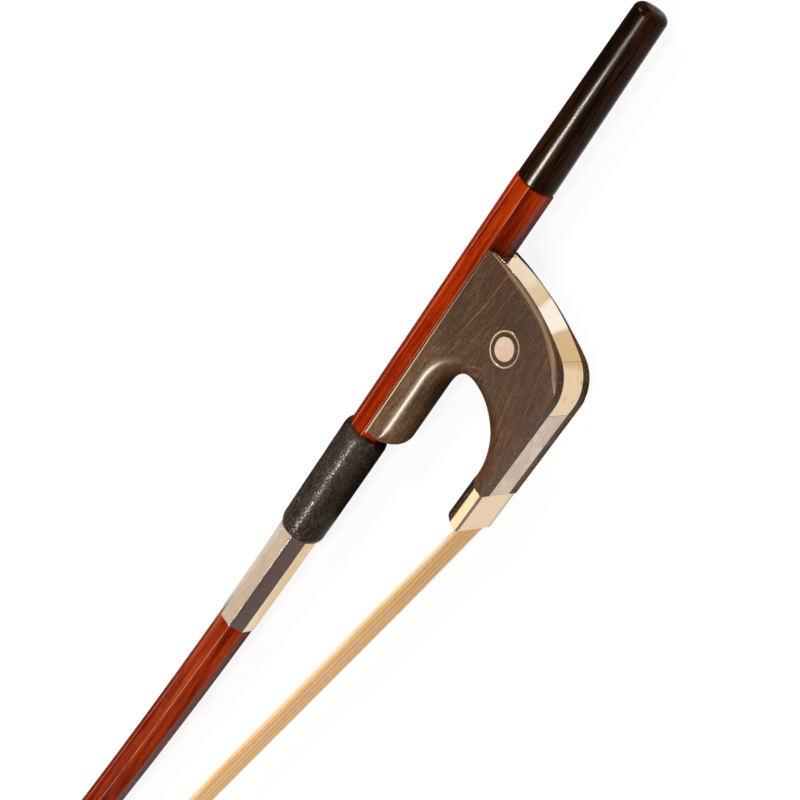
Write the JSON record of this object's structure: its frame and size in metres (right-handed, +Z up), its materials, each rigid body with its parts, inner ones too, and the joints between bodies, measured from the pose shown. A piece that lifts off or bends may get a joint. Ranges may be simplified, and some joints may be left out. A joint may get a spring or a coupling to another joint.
{
  "type": "double bass bow",
  "caption": "Underhand-grip double bass bow: cambered octagonal stick, deep frog with round throat, long turned button, leather and wire grip, flat hair.",
  "frame": {"origin": "middle of the underside of the whole bow's box, with the bow lying on its side", "axes": "+X along the handle towards the button, +Y from the hair towards the stick, +Z up"},
  "size_m": [0.7456, 0.1032, 0.0175],
  "materials": {
    "pernambuco": "oiled and polished",
    "frog_wood": "polished, satin",
    "button_ebony": "polished",
    "pale_gold": "mirror polished, pale gold",
    "eyelet_brass": "machined",
    "screw_steel": "machined",
    "pearl": "polished mother of pearl",
    "leather": "fine grain, satin",
    "wire": "close-wound silver wire",
    "hair": "straight horsehair",
    "block_wood": "plain cut",
    "tip_bone": "polished bone",
    "liner_ebony": "polished"
  },
  "bodies": {
    "stick": {"stick": "pernambuco", "tip_plate": "tip_bone", "tip_plate_liner": "liner_ebony", "tip_plug": "block_wood", "tip_hair_knot": "hair", "wire_lapping": "wire", "leather_grip": "leather", "hair_ribbon": "hair"},
    "frog": {"frog_body": "frog_wood", "ferrule": "pale_gold", "slide": "frog_wood", "pearl_slide": "pearl", "heel_plate_back": "pale_gold", "heel_plate_bottom": "pale_gold", "heel_pin_1": "pale_gold", "heel_pin_2": "pale_gold", "eye_pearl_left": "pearl", "eye_pearl_right": "pearl", "eye_ring_left": "pale_gold", "eye_ring_right": "pale_gold", "underslide": "pale_gold", "underslide_pin_1": "pale_gold", "underslide_pin_2": "pale_gold", "eyelet": "eyelet_brass", "frog_plug": "block_wood", "frog_hair_knot": "hair", "spread_wedge": "block_wood"},
    "screw": {"screw": "screw_steel", "button": "button_ebony"}
  },
  "joints": [
    {"name": "button_turn", "type": "hinge", "parent": "stick", "child": "screw", "pos_m": [0.30928, 0.00095, 0.00876], "axis": [-1, 0, 0], "range_deg": [-1286.2, 3343.4]},
    {"name": "frog_slide", "type": "slide", "parent": "stick", "child": "frog", "axis": [1, 0, 0], "range_m": [-0.0025, 0.0065], "deforming": ["hair_ribbon"]}
  ],
  "couplings": [
    {"joint": "button_turn", "follows": "frog_slide", "rad_per_m": 8976}
  ]
}
